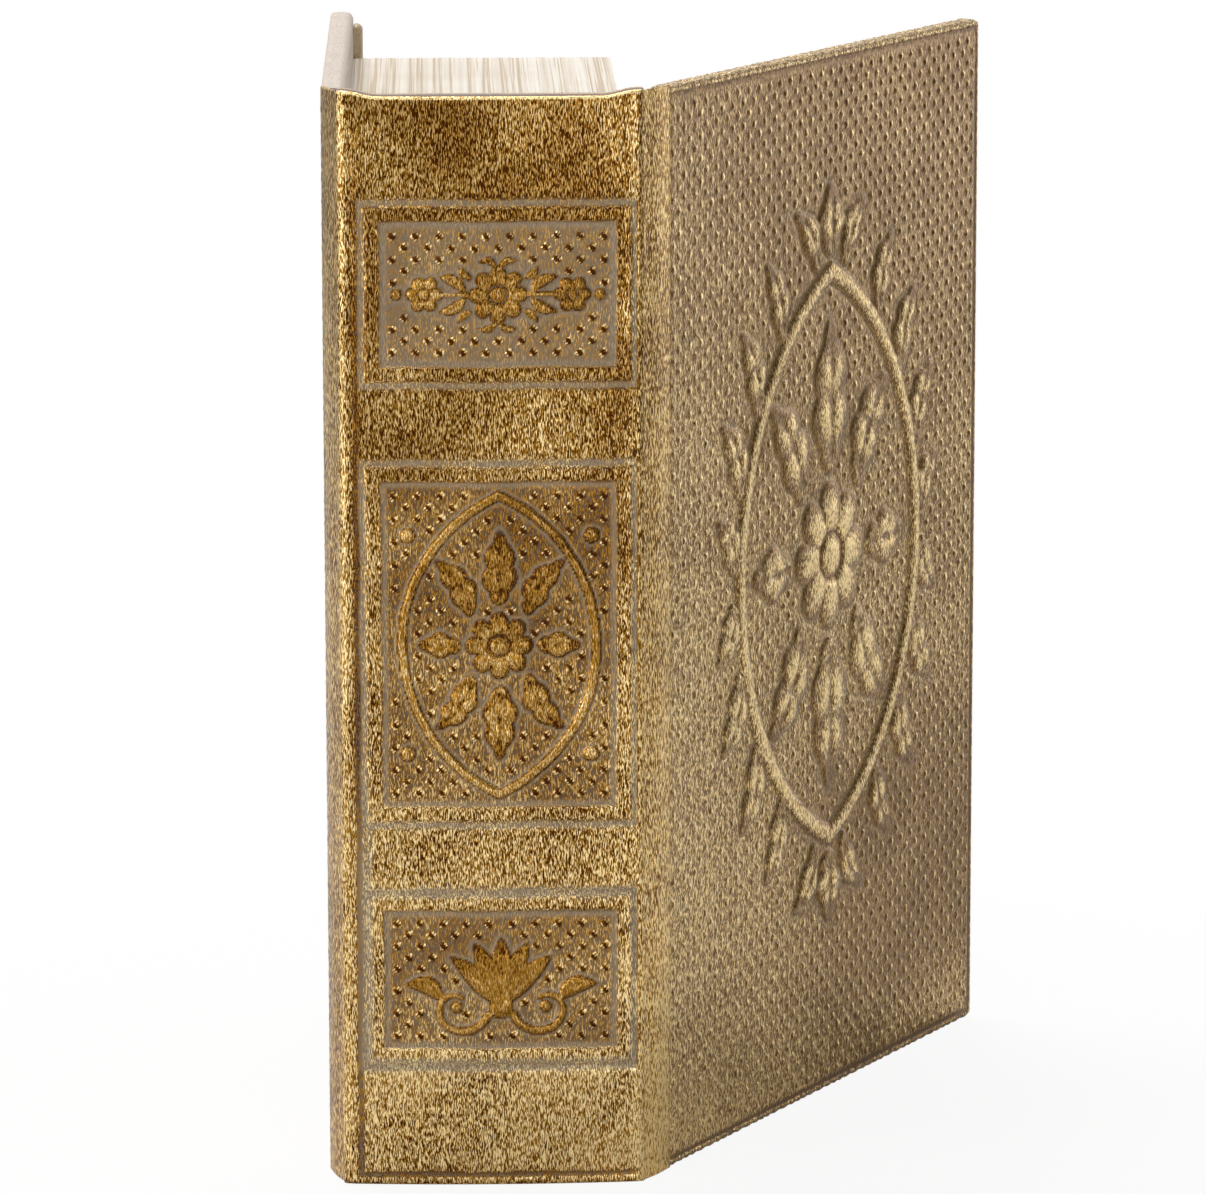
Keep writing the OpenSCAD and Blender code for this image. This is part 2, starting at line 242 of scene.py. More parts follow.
fibres, fibres_in, fibres_out = start_group(
    "fibres",
    [("Scale", "NodeSocketFloat", 900.0), ("Stretch", "NodeSocketFloat", 0.2)],
    [("Tone", "NodeSocketFloat"), ("Height", "NodeSocketFloat")],
)
stretch = place(fibres, "ShaderNodeCombineXYZ", {0: 1.0, 1: fibres_in.outputs["Stretch"], 2: 1.0})
long_way = on_object(fibres, stretch.outputs[0])
strands = noise(fibres, long_way, fibres_in.outputs["Scale"], 4.0, 0.65, 0.6)
clouds = noise(fibres, on_object(fibres), 45.0, 3.0)
tone = reckon(fibres, "ADD", strands, clouds)
half_tone = reckon(fibres, "MULTIPLY", tone, 0.5)
fibres.links.new(half_tone, fibres_out.inputs["Tone"])
fibres.links.new(strands, fibres_out.inputs["Height"])

fibreboard, tree = new_material("fibreboard")
grain = use_group(tree, fibres, Scale=1100.0, Stretch=0.35)
spread = remap(tree, grain.outputs["Tone"], 0.3, 0.7)
colour = mix_colour(tree, spread, (0.30, 0.19, 0.10, 1), (0.50, 0.36, 0.22, 1))
add_surface(tree, {"Base Color": colour, "Roughness": 0.85}, grain.outputs["Height"], 0.5, 0.0003)
paint(fibreboard, "back_cover_board", "spine_board", "front_cover_board", "tray_floor", "head_wall",
      "tail_wall", "fore_edge_wall", "spine_side_wall")

# Card.
# Grey filling card glued between the leather's turn-ins, level with them, to carry the lining.

grey_card, tree = new_material("grey_card")
grain = use_group(tree, fibres, Scale=1600.0, Stretch=1.0)
spread = remap(tree, grain.outputs["Tone"], 0.35, 0.65)
colour = mix_colour(tree, spread, (0.42, 0.38, 0.32, 1), (0.62, 0.58, 0.51, 1))
add_surface(tree, {"Base Color": colour, "Roughness": 0.9}, grain.outputs["Height"], 0.35, 0.0002)
paint(grey_card, "back_cover_infill", "front_cover_infill", "spine_infill")

# Leather of the spine.
# One piece of gold-foiled leatherette over the spine board, turned in at head and foot. Three
# panels and a long frame line are pressed into it; the foil is rubbed off in the pressed parts.

crown = 1.5
face_y = -2.9
back_y = 2.9
corner = (33.0, 0.1)
corner_r = 3.0
spine_top = 259.3
turn_in = 15.0
tooling_x = 1.6
line_w = 0.8
panel_w = 64.6
panel_rows = [(28.5, 43.0), (87.0, 87.0), (191.5, 43.5)]
frame_size = (panel_w + 2.6, spine_top - 4.4)
# Each pressed line's width and depth.
panel_line = (1.6, 0.38)
frame_line = (1.1, 0.28)
inner_gap = 4.4
dot_pitch = (5.45, 2.72)
dot_r = 0.95
dark_speck = (3.5, 242.4)


def smooth(low, high, value):
    """Smooth step from 0 at low to 1 at high."""
    t = np.clip((value - low) / (high - low), 0, 1)
    return t * t * (3 - 2 * t)


def inside_box(u, v, middle, size):
    """Depth inside a rectangle; negative outside."""
    return np.minimum(size[0] / 2 - np.abs(u - middle[0]), size[1] / 2 - np.abs(v - middle[1]))


def pressed_line(distance, width, depth):
    """Rounded groove along the places where distance is 0."""
    return -depth / (1 + (2 * distance / width) ** 4)


def leaf(u, v, foot, tip, half, bend=0.0, lobes=0):
    """Height, 0 to 1, of a leaf with a midrib groove, from its foot to its tip."""
    du, dv = tip[0] - foot[0], tip[1] - foot[1]
    length = math.hypot(du, dv)
    along = ((u - foot[0]) * du + (v - foot[1]) * dv) / length ** 2
    across = ((v - foot[1]) * du - (u - foot[0]) * dv) / length
    held = np.clip(along, 0, 1)
    across = across - bend * length * 4 * held * (1 - held)
    breadth = half * np.sin(np.pi * held ** 0.8) ** 0.75
    if lobes:
        breadth = breadth * (0.74 + 0.26 * np.abs(np.cos(np.pi * lobes * held)))
    rise = np.sqrt(np.clip((breadth - np.abs(across)) / (0.75 * half), 0, 1))
    groove = 1 - 0.45 * np.exp(-(across / (0.17 * half)) ** 2) * smooth(0.0, 0.15, held)
    groove -= 0.10 * (1 - np.cos(2 * math.pi * (3.5 * held - 0.8 * np.abs(across) / half))) * (half > 3)
    return np.where((along > 0) & (along < 1), rise * groove, 0)


def bead(distance, radius):
    """Height, 0 to 1, of a half-round bead at a distance from its middle line."""
    return np.sqrt(np.clip(1 - (distance / radius) ** 2, 0, 1))


def stem(u, v, points, thick, thin):
    """Height, 0 to 1, of a round stem along points, from thick to thin."""
    best = np.zeros_like(u)
    count = len(points) - 1
    for k in range(count):
        (au, av), (bu, bv) = points[k], points[k + 1]
        du, dv = bu - au, bv - av
        t = np.clip(((u - au) * du + (v - av) * dv) / (du * du + dv * dv), 0, 1)
        away = np.hypot(u - au - t * du, v - av - t * dv)
        half = (thick + (thin - thick) * (k + t) / count) / 2
        best = np.maximum(best, bead(away, half))
    return best


def scroll(middle, start, turn, grow):
    """Points of a spiral round a middle, from a starting point inwards."""
    steps = 26
    du, dv = start[0] - middle[0], start[1] - middle[1]
    reach, angle = math.hypot(du, dv), math.atan2(dv, du)
    return [(middle[0] + reach * grow ** (k / steps) * math.cos(angle + turn * k / steps),
             middle[1] + reach * grow ** (k / steps) * math.sin(angle + turn * k / steps))
            for k in range(steps + 1)]


def pearl(u, v, middle, radius):
    """Height, 0 to 1, of a half-round pearl."""
    return np.sqrt(np.clip(1 - ((u - middle[0]) ** 2 + (v - middle[1]) ** 2) / radius ** 2, 0, 1))


def rosette(u, v, middle, radius, petals):
    """Height, 0 to 1, of an open flower with a round centre."""
    r = np.hypot(u - middle[0], v - middle[1])
    angle = np.arctan2(v - middle[1], u - middle[0])
    wave = np.abs(np.cos(petals * angle / 2))
    edge = radius * (0.72 + 0.28 * np.sqrt(wave))
    flower = np.sqrt(np.clip((edge - r) / (0.45 * radius), 0, 1)) * (0.55 + 0.4 * wave ** 0.5)
    flower = flower * smooth(0.26 * radius, 0.42 * radius, r)
    return np.maximum(flower, pearl(u, v, middle, 0.3 * radius))


def blurred(field, times):
    """Field softened along both ways of its grid."""
    for _ in range(times):
        for way in (0, 1):
            before = np.roll(field, 1, way)
            after = np.roll(field, -1, way)
            field = 0.25 * before + 0.5 * field + 0.25 * after
    return field


def dots(u, v, origin, free_at):
    """Staggered dots: height, 0 to 1, and the way from a dot's middle in radii, right and up.

    free_at gives 1 where a dot's middle may lie.
    """
    row = np.round((v - origin[1]) / dot_pitch[1])
    offset = origin[0] + (row % 2) * dot_pitch[0] / 2
    column = np.round((u - offset) / dot_pitch[0])
    du = u - offset - column * dot_pitch[0]
    dv = v - origin[1] - row * dot_pitch[1]
    shape = np.sqrt(np.clip(1 - (du * du + dv * dv) / dot_r ** 2, 0, 1))
    return shape * (free_at(u - du, v - dv) > 0.5), du / dot_r, dv / dot_r


def nearest(us, vs, field):
    """Function that reads a field, with rows at vs and columns at us, at its nearest node."""
    def read(u, v):
        i = np.clip(np.searchsorted(vs, v), 0, len(vs) - 1)
        j = np.clip(np.searchsorted(us, u), 0, len(us) - 1)
        return field[i, j]
    return read


def upper_ornament(u, v):
    """Row of three flowers joined by sprigs."""
    w = np.abs(u)
    parts = [rosette(w, v, (0, 0), 7.2, 8), rosette(w, v, (17.2, 0), 4.6, 6)]
    for side in (-1, 1):
        parts.append(leaf(w, v, (7.5, side * 0.8), (14.2, side * 4.2), 1.5, side * 0.12))
        parts.append(0.9 * leaf(w, v, (6.0, side * 3.6), (9.4, side * 6.8), 1.1, -side * 0.1))
        parts.append(0.9 * leaf(w, v, (0.0, side * 6.4), (5.0, side * 7.6), 1.0, side * 0.2))
    parts += [stem(w, v, [(7, 0), (13, 0)], 1.5, 1.1), pearl(w, v, (23.6, 0), 1.5)]
    return np.maximum.reduce(parts)


def middle_ornament(u, v):
    """Flower with eight leaves in an oval cord."""
    a, b = np.abs(u), np.abs(v)
    return np.maximum.reduce([
        rosette(a, b, (0, 0), 8.2, 8),
        leaf(a, b, (0, 9.5), (0, 28), 4.6, 0, 3),
        leaf(a, b, (8.8, 0), (19.5, 0), 3.4, 0, 2),
        leaf(a, b, (6.3, 7.0), (15.5, 20.5), 3.8, 0.1, 3),
        0.8 * bead(np.hypot(a + 16.5, b) - 39.2, 1.25),
        pearl(a, b, (21.5, 26.0), 2.0),
    ])


def lower_ornament(u, v):
    """Shell of spread leaves over two scrolls."""
    w = np.abs(u)
    return np.maximum.reduce([
        leaf(w, v, (0, -5.5), (0, 11), 3.2),
        leaf(w, v, (0.8, -5.5), (6.8, 9.6), 2.9, 0.05),
        leaf(w, v, (0.8, -5.5), (12.4, 6.0), 2.7, 0.05),
        pearl(w, v, (0, -6.4), 3.0),
        stem(w, v, scroll((10.5, -6.5), (3.0, -8.5), 5.0, 0.32), 2.4, 1.3),
        pearl(w, v, (10.5, -6.5), 1.6),
        leaf(w, v, (13.5, -4.5), (23, -1.0), 2.4, 0.16),
    ])


def spine_relief(us, vs):
    """Height in mm over the spine's face, and its marks: foil pressed, foil rubbed with painted light and
    shade, and calm.
    """
    u, v = np.meshgrid(us, vs)
    calm = np.zeros_like(u)
    # Painted light and shade: the face is painted darker towards the head, lighter towards the foot, and
    # lighter along both rounded corners, the left one from its middle upwards.
    rubbed = 0.26 * smooth(20, 240, v) - 0.07 - 0.18 * smooth(30.5, 34.5, u) - 0.10 * smooth(75, 15, v)
    rubbed -= 0.32 * smooth(-32.5, -34.5, u) * smooth(60, 160, v)
    straight_u = u
    u = u + 0.10 * np.sin(0.19 * v + 1.0) + 0.05 * np.sin(0.83 * v)
    v = v + 0.10 * np.sin(0.23 * straight_u + 2.0) + 0.05 * np.sin(0.9 * straight_u + 0.02 * v)
    frame_depth = inside_box(u, v, (tooling_x, spine_top / 2), frame_size)
    height = pressed_line(frame_depth - line_w / 2, *frame_line) * smooth(spine_top - 3, spine_top - 9, v)
    height *= smooth(34.2, 33.4, u)
    pressed = -height / frame_line[1] * smooth(250, 60, v) * 0.45
    rubbed += 0.8 * -height / frame_line[1] * smooth(260, 100, v)
    rubbed += 2.0 * np.exp(-((u - dark_speck[0]) ** 2 + (v - dark_speck[1]) ** 2) / 0.3)
    ornaments = (lower_ornament, middle_ornament, upper_ornament)
    # For each panel: how bare and how dull its field is, and how wide its line's rubbed mark.
    wears = ((0.34, 0.32, 2.6), (0.25, 0.17, 1.6), (0.50, 0.08, 1.4))
    for (foot, tall), ornament, (bare, dull, mark_w) in zip(panel_rows, ornaments, wears):
        middle = (tooling_x, foot + tall / 2)
        depth = inside_box(u, v, middle, (panel_w, tall))
        groove = pressed_line(depth - line_w / 2, *panel_line)
        field_depth = depth - inner_gap
        field = smooth(0.0, 0.8, field_depth)
        raised = ornament(u - middle[0], v - middle[1])
        covered = (raised > 0.03).astype(float)
        free = (field_depth > 1.7) & (blurred(covered, 4) < 0.02)
        spots, right, up = dots(u, v, middle, nearest(us, vs, free.astype(float)))
        rim = np.clip(blurred(covered, 3) * 2.2, 0, 1) * smooth(0.25, 0.0, raised) * field
        ledge = np.exp(-((field_depth - 1.0) / 0.75) ** 2) * (depth > 0)
        band = smooth(0.8, 2.2, depth) * (1 - field)
        height += groove + 0.22 * band - 0.35 * field - 0.16 * ledge - 0.22 * rim
        height += field * (0.62 * spots + 1.3 * blurred(raised, 1))
        worn_field = field * (bare + 0.6 * np.maximum(0.9 * ledge, rim))
        worn_field *= 1 - np.maximum(smooth(0.15, 0.5, raised), smooth(0.1, 0.4, spots))
        uneven = 0.72 + 0.16 * np.sin(0.31 * u + 1.3 * np.sin(0.05 * v)) * np.sin(0.23 * v + foot)
        worn_line = -pressed_line(depth - line_w / 2, mark_w, uneven)
        pressed = np.maximum(pressed, np.maximum(worn_line, worn_field))
        # Painted reflection and highlight: each dot's middle is painted dark, and crescents on its lower
        # left and upper right are painted bright.
        crescent = smooth(0.35, 0.75, np.abs(right + up) / 1.41) * smooth(0.05, 0.3, spots)
        rubbed += field * (dull + 0.7 * smooth(0.3, 0.85, spots) - 1.4 * crescent)
        rubbed += field * smooth(0.0, 0.15, raised) * (0.6 * smooth(0.6, 0.1, raised) - 0.22 * raised)
        # Painted light: the lower panel's raised ornament is painted darker again, kept out of the lighter
        # foot.
        rubbed += 0.16 * field * raised * smooth(110, 60, v)
        calm = np.maximum(calm, field * 0.45 * np.maximum(smooth(0.2, 0.7, raised), smooth(0.1, 0.4, spots)))
    beside_panel = smooth(-32.4, -32.0, u) * smooth(-27.8, -28.8, u) * smooth(120, 70, v)
    under_panel = smooth(27.6, 28.2, v) * smooth(31.6, 30.6, v) * smooth(33.9, 33.5, u)
    scuffed = beside_panel * smooth(27.8, 28.6, v) + under_panel * smooth(-32.4, -32.0, u)
    pressed = np.maximum(pressed, 0.6 * np.clip(scuffed, 0, 1))
    return height, pressed, rubbed, calm


def sheet_mesh(name, points, material, flip=False, **marks):
    """Mesh over a grid of points in mm, with marks for its material and a flat map for baking."""
    rows, columns = points.shape[:2]
    index = np.arange(rows * columns).reshape(rows, columns)
    corners = [index[:-1, :-1], index[:-1, 1:], index[1:, 1:], index[1:, :-1]]
    if flip:
        corners.reverse()
    quads = np.stack([c.ravel() for c in corners], 1)
    mesh = bpy.data.meshes.new(name)
    mesh.vertices.add(rows * columns)
    mesh.vertices.foreach_set("co", (points.reshape(-1, 3) / 1000).astype(np.float32).ravel())
    mesh.loops.add(quads.size)
    mesh.loops.foreach_set("vertex_index", quads.ravel().astype(np.int32))
    mesh.polygons.add(len(quads))
    mesh.polygons.foreach_set("loop_start", np.arange(0, quads.size, 4, dtype=np.int32))
    mesh.polygons.foreach_set("use_smooth", np.ones(len(quads), bool))
    mesh.update(calc_edges=True)
    for mark, values in marks.items():
        layer = mesh.attributes.new(mark, "FLOAT", "POINT")
        layer.data.foreach_set("value", np.broadcast_to(values, (rows, columns)).astype(np.float32).ravel())
    flat = np.stack(np.meshgrid(np.linspace(0.01, 0.99, columns), np.linspace(0.01, 0.99, rows)), -1)
    baked = mesh.uv_layers.new(name="OFBake")
    baked.data.foreach_set("uv", flat.reshape(-1, 2)[quads.ravel()].astype(np.float32).ravel())
    mesh.validate()
    mesh.materials.append(material)
    piece = bpy.data.objects.new(name, mesh)
    scene.collection.objects.link(piece)
    return piece


crinkle, crinkle_in, crinkle_out = start_group(
    "crinkle",
    [("Scale", "NodeSocketFloat", 2000.0), ("Stretch", "NodeSocketFloat", 0.6)],
    [("Height", "NodeSocketFloat"), ("Crest", "NodeSocketFloat")],
)
stretch = place(crinkle, "ShaderNodeCombineXYZ", {0: 1.0, 1: 1.0, 2: crinkle_in.outputs["Stretch"]})
upright = on_object(crinkle, stretch.outputs[0])
folds = noise(crinkle, upright, crinkle_in.outputs["Scale"], 1.0, 0.5, 0.35)
coarse = reckon(crinkle, "MULTIPLY", crinkle_in.outputs["Scale"], 0.37)
waves = noise(crinkle, upright, coarse, 2.0, 0.5, 0.8)
share = reckon(crinkle, "MULTIPLY", waves, 0.08)
sum_up = reckon(crinkle, "MULTIPLY_ADD", folds, 0.92, share)
crest = remap(crinkle, sum_up, 0.40, 0.60)
crinkle.links.new(sum_up, crinkle_out.inputs["Height"])
crinkle.links.new(crest, crinkle_out.inputs["Crest"])

foil, foil_in, foil_out = start_group(
    "antique_foil",
    [("Pressed", "NodeSocketFloat", 0.0), ("Crest", "NodeSocketFloat", 0.5),
     ("Worn", "NodeSocketFloat", 0.5), ("Clouds", "NodeSocketFloat", 0.2),
     ("Bright", "NodeSocketColor", (0.9, 0.7, 0.3, 1)), ("Gold", "NodeSocketColor", (0.5, 0.3, 0.1, 1)),
     ("Umber", "NodeSocketColor", (0.1, 0.05, 0.02, 1)), ("Bare", "NodeSocketColor", (0.2, 0.17, 0.12, 1))],
    [("Color", "NodeSocketColor"), ("Metallic", "NodeSocketFloat"), ("Roughness", "NodeSocketFloat")],
)
# The wear input carries real rubbing together with painted light and shade: higher darkens the foil, lower
# gives more painted glints.
crest, wear_and_shade_level, clouds = (foil_in.outputs[name] for name in ("Crest", "Worn", "Clouds"))
mottle = noise(foil, on_object(foil), 48.0, 1.5, 0.45, 0.3)
cloud = remap(foil, mottle, 0.34, 0.66, 0.5, -0.5)
clouded = reckon(foil, "MULTIPLY_ADD", cloud, clouds, wear_and_shade_level)
kept = reckon(foil, "SUBTRACT", crest, clouded)
faint = reckon(foil, "MULTIPLY", cloud, 0.5)
half_clouded = reckon(foil, "MULTIPLY_ADD", faint, clouds, wear_and_shade_level)
proud = reckon(foil, "SUBTRACT", crest, half_clouded)
gilt = remap(foil, kept, -0.50, -0.10)
lit = remap(foil, proud, 0.04, 0.36)
glint = reckon(foil, "POWER", lit, 1.4)
base = mix_colour(foil, gilt, foil_in.outputs["Umber"], foil_in.outputs["Gold"])
base = mix_colour(foil, glint, base, foil_in.outputs["Bright"])
shadow = remap(foil, crest, 0.0, 1.0, 0.7, 1.15)
bare = place(foil, "ShaderNodeVectorMath", {0: foil_in.outputs["Bare"], "Scale": shadow}, operation="SCALE")
torn = reckon(foil, "MULTIPLY_ADD", crest, -0.5, foil_in.outputs["Pressed"])
gone = remap(foil, torn, 0.0, 0.45)
final = mix_colour(foil, gone, base, bare.outputs[0])
left = reckon(foil, "SUBTRACT", 1.0, gone)
metal = reckon(foil, "MULTIPLY", left, 0.95)
rough = remap(foil, metal, 0.0, 1.0, 0.58, 0.32)
foil.links.new(final, foil_out.inputs["Color"])
foil.links.new(metal, foil_out.inputs["Metallic"])
foil.links.new(rough, foil_out.inputs["Roughness"])


def leather(name, scale, stretch, wear_and_shade_level, clouds, bright, gold, umber, bare, depth):
    """Foiled leatherette: crinkled, gold on its crests with painted glints, rubbed and painted with light
    and shade by one mark, and pressed away by another.
    """
    material, tree = new_material(name)
    grain = use_group(tree, crinkle, Scale=scale, Stretch=stretch)
    pressed, rubbed, calm = (place(tree, "ShaderNodeAttribute", attribute_name=mark).outputs["Fac"]
                             for mark in ("pressed", "rubbed", "calm"))
    crest = place(tree, "ShaderNodeMix", {0: calm, 2: grain.outputs["Crest"], 3: 0.78}).outputs[0]
    skin = use_group(tree, foil, Pressed=pressed, Crest=crest, Worn=reckon(tree, "ADD", rubbed, wear_and_shade_level),
                     Clouds=clouds, Bright=bright, Gold=gold, Umber=umber, Bare=bare)
    still = reckon(tree, "MAXIMUM", pressed, calm)
    crinkled = remap(tree, still, 0.4, 1.0, 0.6, 0.2)
    coat = remap(tree, crest, 0.35, 1.0, 0.02, 0.25)
    add_surface(tree, {"Base Color": skin.outputs["Color"], "Metallic": skin.outputs["Metallic"],
                       "Roughness": skin.outputs["Roughness"], "Coat Weight": coat, "Coat Roughness": 0.28},
                grain.outputs["Height"], crinkled, depth)
    return material


spine_leather = leather("spine_leather", scale=4400.0, stretch=0.19, wear_and_shade_level=0.59, clouds=0.34,
                        bright=(1.0, 0.785, 0.40, 1), gold=(0.37, 0.175, 0.014, 1),
                        umber=(0.055, 0.013, 0.0, 1), bare=(0.28, 0.20, 0.115, 1), depth=0.00022)


def arc(middle, radius, start, end, count):
    """Points and outward normals along an arc, angles in radians."""
    angles = np.linspace(start, end, count)
    normals = np.stack([np.cos(angles), np.sin(angles)], 1)
    return np.array(middle) + radius * normals, normals


def leave_angle(point):
    """Angle on the spine's corner at which leather leaves it towards a point."""
    du, dv = point[0] - corner[0], point[1] - corner[1]
    return math.atan2(dv, du) - math.acos(corner_r / math.hypot(du, dv))


near_closed = (39.25, 10.5)
near_open = (41.98, 9.10)
arc_to_corner = (corner[0] ** 2 + crown ** 2) / (2 * crown)
arc_r = arc_to_corner + corner_r
arc_middle = (0.0, face_y - crown + arc_r)
swing = math.asin(corner[0] / arc_to_corner)
down = -math.pi / 2
left_points, left_normals = arc((-corner[0], corner[1]), corner_r, math.pi - leave_angle(near_closed),
                                2 * math.pi + down - swing, 12)
crown_points, crown_normals = arc(arc_middle, arc_r, down - swing, down + swing, 152)
right_points, right_normals = arc(corner, corner_r, down + swing, leave_angle(near_open), 12)
outline = np.concatenate([left_points[:-1], crown_points, right_points[1:]])
normals = np.concatenate([left_normals[:-1], crown_normals, right_normals[1:]])

head_r = 0.9
ear_rise = 1.3
back_half = 35.3
cap = [(head_r * (1 - math.cos(a)), head_r * (1 - math.sin(a)))
       for a in np.linspace(0.3, math.pi / 2, 5)]
levels = np.linspace(head_r, spine_top - head_r, 574)
heights, pressed, rubbed, calm = spine_relief(outline[:, 0], levels)
face = np.zeros((len(levels), len(outline), 3))
face[:, :, :2] = outline + heights[:, :, None] * normals
ears = ear_rise * smooth(26, 34, np.abs(outline[:, 0]))
face[:, :, 2] = levels[:, None] + ears * smooth(spine_top - 9, spine_top - head_r, levels)[:, None]
back_line = np.stack([np.clip(outline[:, 0], -back_half, back_half), np.full(len(outline), back_y)], 1)
held = (1 - 0.85 * smooth(34.0, 35.8, np.abs(outline[:, 0])))[:, None]
edge_rows = [(outline - inset * held * normals, drop) for inset, drop in cap]
rolled_in = edge_rows[-1][0]
for share in (0.35, 0.7, 1.0):
    edge_rows.append(((1 - share) * rolled_in + share * back_line, 0.0))
edge_rows.append((back_line, turn_in))


def end_rows(at_head):
    """Rows of the leather turned over the spine's head or foot."""
    made = np.zeros((len(edge_rows), len(outline), 3))
    for k, (ring, drop) in enumerate(edge_rows):
        made[k, :, :2] = ring
        made[k, :, 2] = spine_top - drop + ears if at_head else drop
    return made


grid = np.concatenate([end_rows(False)[::-1], face, end_rows(True)])
on_face = slice(len(edge_rows), len(edge_rows) + len(levels))
marks = {}
for mark, values in (("pressed", pressed), ("rubbed", rubbed), ("calm", calm)):
    marks[mark] = np.zeros(grid.shape[:2])
    marks[mark][on_face] = values
# Painted highlight along the rounded head of the spine, and a thin painted shade line just beyond it.
marks["rubbed"][on_face.stop:on_face.stop + 3] = -0.5
marks["rubbed"][on_face.stop + 4:on_face.stop + 6] = 1.0
spine_cover = sheet_mesh("spine_cover", grid, spine_leather, **marks)
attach(spine_cover, "case")
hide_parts("spine_leather")

# Joints of the leather.
# Beside the spine the same leather runs on without a board, folded double at head and foot, so
# that a cover can swing. The right-hand joint, which bends as the lid opens, is made only as it stands with
# the lid open; the tray holds the other.

pivot = (38.0, 4.7)
open_angle = math.radians(30)
book_h = 260.0
joint_t = 0.95
joint_foot = 0.05
joint_head = book_h + 0.35
joint_end_r = 0.5


def opened(points):
    """Turn points of the closed lid, x and y first in mm, to where the lid stands."""
    points = np.array(points, float)
    dx, dy = points[..., 0] - pivot[0], points[..., 1] - pivot[1]
    points[..., 0] = pivot[0] + dx * math.cos(open_angle) + dy * math.sin(open_angle)
    points[..., 1] = pivot[1] + dy * math.cos(open_angle) - dx * math.sin(open_angle)
    return points


def loft(ring, core, foot, head, end_r, rows):
    """Upright bar round a section, whose ends round in towards the section's core."""
    ring, core = np.array(ring, float), np.array(core, float)
    turns = np.linspace(0, math.pi / 2, 8)
    rise = end_r * (1 - np.cos(turns))
    share = np.concatenate([np.sin(turns), np.ones(rows), np.sin(turns[::-1])])
    level = np.concatenate([foot + rise, np.linspace(foot + end_r, head - end_r, rows + 2)[1:-1],
                            head - rise[::-1]])
    points = np.zeros((len(level), len(ring), 3))
    points[:, :, :2] = core + share[:, None, None] * (ring - core)
    points[:, :, 2] = level[:, None]
    return points


def strip_section(path, thick):
    """Closed section, and its core, of a strip whose outer face follows a path."""
    path = np.array(path, float)
    along = np.gradient(path, axis=0)
    along /= np.hypot(along[:, 0], along[:, 1])[:, None]
    inward = np.stack([-along[:, 1], along[:, 0]], 1)
    inner = path + thick * inward
    middle = (path + inner) / 2
    ring = np.concatenate([path, inner[::-1], path[:1]])
    return ring, np.concatenate([middle, middle[::-1], middle[:1]])


def joint_path(near_edge):
    """Outer face of a joint, from the spine's corner to just inside a cover's near edge."""
    leave = leave_angle(near_edge)
    lead_in, _ = arc(corner, corner_r - 0.03, leave - 0.7, leave, 8)
    start = lead_in[-1]
    t = np.linspace(0, 1, 12)[1:, None]
    chord = np.array(near_edge) - start
    length = np.hypot(*chord)
    outward = np.array([chord[1], -chord[0]]) / length
    run = start + t * chord + 0.35 * np.sin(np.pi * t) ** 2 * outward
    return np.concatenate([lead_in, run])


def joint_bar(near_edge):
    """Points over a joint strip that reaches from the spine's corner to a cover's near edge."""
    ring, core = strip_section(joint_path(near_edge), joint_t)
    return loft(ring, core, joint_foot, joint_head, joint_end_r, 200)


# Painted light: the joint's leather is the spine's, given paler colours and more painted glints because less
# lamp light falls on the joint.
joint_leather = leather("joint_leather", scale=3000.0, stretch=0.24, wear_and_shade_level=0.46, clouds=0.24,
                        bright=(1.0, 0.76, 0.34, 1), gold=(0.38, 0.17, 0.009, 1),
                        umber=(0.11, 0.04, 0.003, 1), bare=(0.28, 0.20, 0.115, 1), depth=0.00026)

points = joint_bar(near_open)
toward_cover = np.concatenate([np.linspace(0, 1, 19), np.zeros(points.shape[1] - 19)])
# Painted light and shade on the hinge joint: darker towards the head, lighter towards the foot and towards
# the cover.
painted_light_and_shade = 0.16 * smooth(20, 240, points[:, :, 2]) - 0.07 - 0.12 * toward_cover ** 2
painted_light_and_shade -= 0.20 * smooth(70, 15, points[:, :, 2])
joint = sheet_mesh("hinge_joint", points, joint_leather, rubbed=painted_light_and_shade)
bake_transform(joint)
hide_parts("hinge_leather")

points = joint_bar(near_closed)
points[:, :, 0] *= -1
# Painted light and shade on the fixed joint: darker towards the foot, lighter towards the head.
painted_light_and_shade = 0.20 - 0.24 * smooth(20, 240, points[:, :, 2])
fixed_joint = sheet_mesh("fixed_joint", points, joint_leather, flip=True, rubbed=painted_light_and_shade)
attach(fixed_joint, "case")
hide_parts("back_joint_leather")

# Leather of the covers.
# Embossed leatherette, drawn tight over each board, rolled round three edges and glued down
# inside in a 15 mm turn-in with mitred corners. Staggered dots cover the whole ground inside a
# plain border; the front also has a raised centre-piece. Most of the foil is rubbed off.

near_y = 10.5
fore_y = 177.1
out_x = 39.25
in_x = 33.45
cover_r = 2.0
outer_r = 1.3
inner_r = 1.8
border = 2.4
# The border line's width and depth.
border_line = (0.9, 0.2)
centre_z = 135.5
first_dot = (near_y + 1.6, 4.5)


